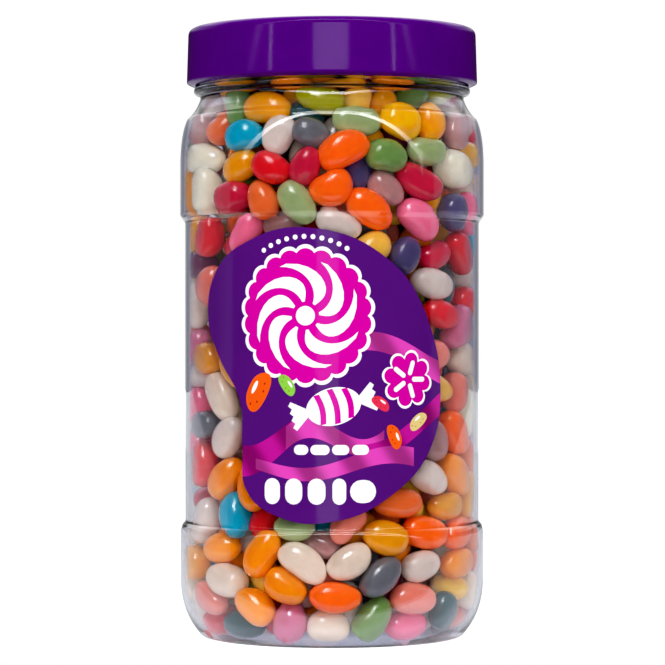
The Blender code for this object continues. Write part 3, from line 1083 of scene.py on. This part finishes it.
def makeWorld():
    # a bright sweep behind and beside the jar, and a dim room in front with its softboxes
    world = bpy.data.worlds.new("studio")
    bpy.context.scene.world = world
    world.use_nodes = True
    tree = world.node_tree
    azimuth, elevation = skyAngles(tree)
    aside = calc(tree, "ABSOLUTE", azimuth)
    path = tree.nodes.new("ShaderNodeLightPath")
    atWall = calc(tree, "LESS_THAN", path.outputs["Transmission Depth"], 2.5)
    sweep = multiply(tree, ramp(tree, aside, 82, 84), ramp(tree, elevation, 4.6, 4.0),
                     ramp(tree, aside, 84, 104, *studio["sweep"]))
    filled = calc(tree, "GREATER_THAN", path.outputs["Diffuse Depth"], 0.5)
    room = calc(tree, "MULTIPLY_ADD", filled, studio["fill"], studio["room"])
    bow = multiply(tree, bowLamp(tree, azimuth, aside, elevation), atWall)
    # the pale wall above the sweep, on the jar's sloped surfaces only
    above = multiply(tree, ramp(tree, elevation, 8, 14),
                     ramp(tree, aside, 90, 120, 0, studio["above"]), atWall)
    # the lit ground before the table
    ground = patch(tree, azimuth, elevation, (-60, 55), (-80, -43), studio["ground"], 2)
    ceiling = ramp(tree, elevation, 55, 62, 0, studio["ceiling"])
    panel = patch(tree, aside, elevation, (120, 180), (30, 55), studio["backPanel"], 8)
    total = add(tree, sweep, room, bow, above, ground, ceiling, panel)
    # what shows through the clear edges is the pale backdrop
    mirrored = calc(tree, "GREATER_THAN", path.outputs["Glossy Depth"], 0.5)
    kept = calc(tree, "SUBTRACT", 1, multiply(tree, mirrored, studio["mirrorLoss"]))
    through = multiply(tree, ramp(tree, aside, 80, 100, 0, studio["through"]), kept, clearView(tree))
    total = calc(tree, "MAXIMUM", total, through)
    seen = path.outputs["Is Camera Ray"]
    level = add(tree, multiply(tree, total, calc(tree, "SUBTRACT", 1.0, seen)),
                multiply(tree, seen, studio["pale"]))
    background = tree.nodes["Background"]
    feed(tree, background.inputs["Strength"], level)
    feed(tree, background.inputs["Color"], blendColours(
        tree, calc(tree, "GREATER_THAN", through, 0.01), (1, 1, 1, 1), studio["backdrop"]))


def makeFloor():
    # the table: its front edge is a little way before the jar
    low, front, wide, deep = jarLow.z * mm - 0.0002, studio["tableFront"] * mm, 3.0, 4.0
    mesh = bpy.data.meshes.new("floor")
    mesh.from_pydata([(-wide, front, low), (wide, front, low), (wide, deep, low), (-wide, deep, low)], [],
                     [(0, 1, 2, 3)])
    floor = bpy.data.objects.new("floor", mesh)
    bpy.context.scene.collection.objects.link(floor)
    material, tree, shader = newMaterial("paleFloor")
    setInputs(shader, {"Base Color": (0.35, 0.355, 0.37, 1), "Roughness": 0.8, "Specular IOR Level": 0.1})
    # lit from below like a light table, brighter for the camera
    x, y, _ = axes(tree, "Object")
    near, far = studio["tableEnds"]
    back = ramp(tree, y, front, 20 * mm, *studio["tableGlow"])
    ends = ramp(tree, calc(tree, "ABSOLUTE", x), near * mm, far * mm, 1, 0.05)
    clear = multiply(tree, clearView(tree), studio["underneath"])
    glow = calc(tree, "MAXIMUM", multiply(tree, back, ends), clear)
    seen = tree.nodes.new("ShaderNodeLightPath").outputs["Is Camera Ray"]
    feed(tree, shader.inputs["Emission Strength"], calc(tree, "MAXIMUM", glow, seen))
    feed(tree, shader.inputs["Emission Color"], blendColours(
        tree, clearView(tree), (0.97, 0.98, 1, 1), studio["backdrop"]))
    floor.data.materials.append(material)


def makeLamps(beans):
    # studio lamps, each lighting only some of the pieces, and some of them seen in the gloss
    everything = [piece.name for piece in bpy.data.objects if piece.type == "MESH"]
    groups = {"beans": beans, "rest": [name for name in everything if name not in beans]}
    for name, (lit, spot, size, power, shows) in studio["lamps"].items():
        lamp = bpy.data.lights.new(name, "AREA")
        lamp.shape = "RECTANGLE"
        lamp.size, lamp.size_y = size
        lamp.energy = power
        piece = bpy.data.objects.new(name, lamp)
        bpy.context.scene.collection.objects.link(piece)
        piece.location = spot
        aim = Vector((0, 0, studio["lampAim"])) - Vector(spot)
        piece.rotation_euler = aim.to_track_quat("-Z", "Y").to_euler()
        piece.visible_glossy = shows != "body"
        piece.visible_diffuse = shows != "gloss"
        piece.visible_camera = False
        piece.visible_transmission = False
        group = bpy.data.collections.new(name + "Lit")
        for other in groups.get(lit, [lit]):
            group.objects.link(bpy.data.objects[other])
        piece.light_linking.receiver_collection = group
    print("studio lit with %d lamps" % len(studio["lamps"]))


def makeCamera():
    camera = bpy.data.objects.new("camera", bpy.data.cameras.new("camera"))
    bpy.context.scene.collection.objects.link(camera)
    camera.location = (studio["cameraSide"] * mm, -studio["cameraFar"] * mm, studio["cameraHeight"] * mm)
    camera.rotation_euler = (math.radians(90), 0, 0)
    camera.data.lens = studio["lens"]
    camera.data.clip_start = 0.05
    bpy.context.scene.camera = camera
    view = bpy.context.scene.view_settings
    view.view_transform = "Standard"
    view.use_curve_mapping = True
    line = view.curve_mapping.curves[3]
    for spot in studio["contrast"]:
        line.points.new(*spot)
    view.curve_mapping.update()


makeCamera()
makeWorld()
makeFloor()
makeJar()
makeCap()
makeLabel()
makeLamps(makeBeans() + makeCore())
